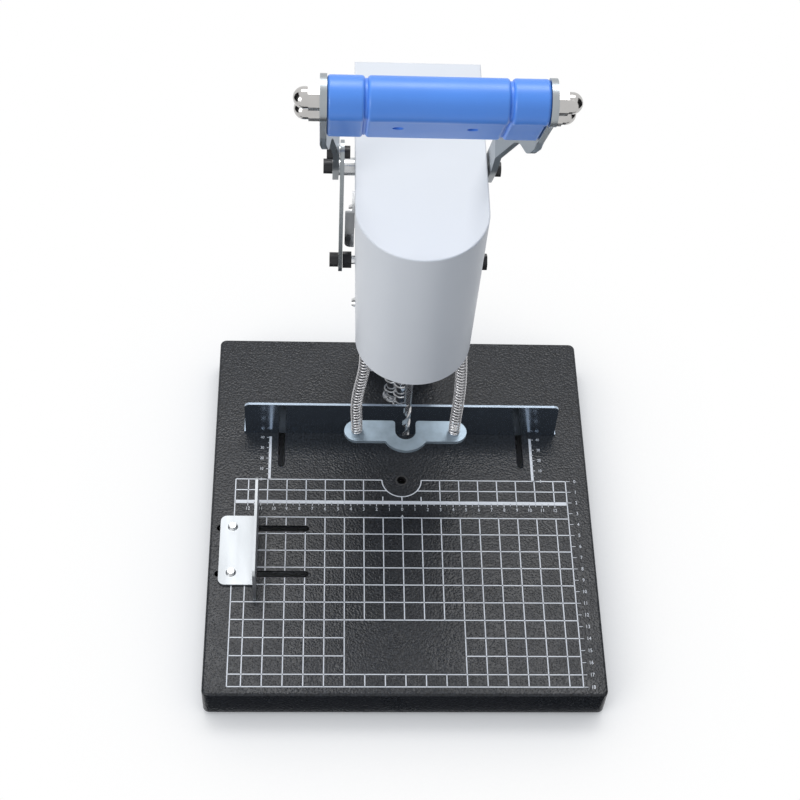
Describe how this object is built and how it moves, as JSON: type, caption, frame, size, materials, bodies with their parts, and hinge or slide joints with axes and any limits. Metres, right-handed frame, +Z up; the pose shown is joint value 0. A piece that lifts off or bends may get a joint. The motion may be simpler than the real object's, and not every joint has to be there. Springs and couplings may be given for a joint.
{
  "type": "paper drill",
  "caption": "Desktop paper drill: lever-fed motor head over a gridded table with adjustable fence and side stop.",
  "frame": {"origin": "centre of the base's footprint, on the bench, under its rubber feet", "axes": "+Z up, -Y to the front where the user stands, +X to the user's right"},
  "size_m": [0.296, 0.3282, 0.4946],
  "materials": {
    "black_enamel": "fine-textured black powder coat",
    "white_paint": "smooth white paint",
    "galvanised_sheet": "bright plated sheet",
    "plated_arm": "bright plated plate",
    "blue_plastic": "moulded, slightly glossy",
    "chromed_nuts": "polished acorn nuts",
    "black_bolts": "black oxide",
    "zinc_screws": "zinc plated",
    "chromed_posts": "ground and hard chromed",
    "spring_steel": "bright spring wire",
    "cast_carriage": "machined plate",
    "motor_steel": "plain motor can",
    "bronze_bearing": "sintered bronze",
    "chuck_steel": "turned steel",
    "drill_steel": "bright ground high-speed steel",
    "presser_steel": "plated plate",
    "black_plastic": "moulded",
    "rubber_black": "moulded rubber"
  },
  "bodies": {
    "base": {"base_tray": "black_enamel", "rubber_feet": "rubber_black", "foot_nuts": "zinc_screws", "chip_bush": "black_plastic", "column": "white_paint", "column_plug": "motor_steel", "stiffener_plate": "zinc_screws", "column_bolts": "zinc_screws", "head_frame": "galvanised_sheet", "frame_screws": "zinc_screws", "guide_posts": "chromed_posts", "post_nuts": "zinc_screws", "head_cover": "white_paint", "cover_screws": "zinc_screws", "stop_bracket": "zinc_screws", "bracket_screw": "zinc_screws", "pivot_bolts": "black_bolts", "pivot_sleeves": "zinc_screws", "pivot_nuts": "black_bolts", "switch_housing": "black_plastic", "power_inlet": "black_plastic", "power_supply": "black_plastic", "return_springs": "spring_steel"},
    "lever": {"arm_left": "plated_arm", "arm_right": "plated_arm", "grip_middle": "blue_plastic", "grip_end_left": "blue_plastic", "grip_end_right": "blue_plastic", "tie_rods": "zinc_screws", "acorn_nuts": "chromed_nuts", "crank_bolt": "black_bolts", "crank_nut": "black_bolts", "crank_washer": "zinc_screws"},
    "link_bar": {"link": "plated_arm", "link_bolt": "black_bolts"},
    "carriage_body": {"carriage": "cast_carriage", "cross_axle": "chromed_posts", "axle_nuts": "black_bolts", "motor_can": "motor_steel", "motor_end_cap": "black_plastic", "spindle_bearing": "bronze_bearing", "carriage_studs": "zinc_screws", "presser_springs": "spring_steel"},
    "spindle": {"chuck": "chuck_steel", "drill_bit": "drill_steel"},
    "presser": {"presser_plate": "presser_steel", "presser_studs": "zinc_screws"},
    "fence_body": {"fence": "galvanised_sheet", "fence_screws": "zinc_screws", "fence_nuts": "zinc_screws"},
    "side_stop_body": {"side_stop": "galvanised_sheet", "side_stop_screws": "zinc_screws", "side_stop_nuts": "zinc_screws"},
    "rocker": {"switch_rocker": "black_plastic"}
  },
  "joints": [
    {"name": "handle_swing", "type": "hinge", "parent": "base", "child": "lever", "pos_m": [0, 0.082, 0.322], "axis": [1, 0, 0], "range_deg": [0, 90]},
    {"name": "carriage_slide", "type": "slide", "parent": "base", "child": "carriage_body", "axis": [0, 0, -1], "range_m": [0, 0.0624], "stiffness_N_per_m": 500, "springref_m": -0.08, "deforming": ["return_springs"]},
    {"name": "link_pivot", "type": "hinge", "parent": "lever", "child": "link_bar", "pos_m": [0, 0.05742, 0.36029], "axis": [1, 0, 0], "range_deg": [-82.19, 0]},
    {"name": "spindle_spin", "type": "hinge", "parent": "carriage_body", "child": "spindle", "pos_m": [0, 0.024, 0.217], "axis": [0, 0, 1], "continuous": true},
    {"name": "presser_float", "type": "slide", "parent": "carriage_body", "child": "presser", "axis": [0, 0, 1], "range_m": [0, 0.05], "stiffness_N_per_m": 600, "springref_m": -0.01, "deforming": ["presser_springs"]},
    {"name": "fence_slide", "type": "slide", "parent": "base", "child": "fence_body", "axis": [0, 1, 0], "range_m": [-0.032, 0.003]},
    {"name": "stop_slide", "type": "slide", "parent": "base", "child": "side_stop_body", "axis": [1, 0, 0], "range_m": [-0.0095, 0.055]},
    {"name": "switch_rock", "type": "hinge", "parent": "base", "child": "rocker", "pos_m": [-0.062, 0.1605, 0.0175], "axis": [0, 0, 1], "range_deg": [0, 16]}
  ],
  "couplings": [
    {"joint": "carriage_slide", "follows": "handle_swing", "m_per_rad": 0.039726},
    {"joint": "link_pivot", "follows": "handle_swing", "ratio": -0.91322}
  ]
}
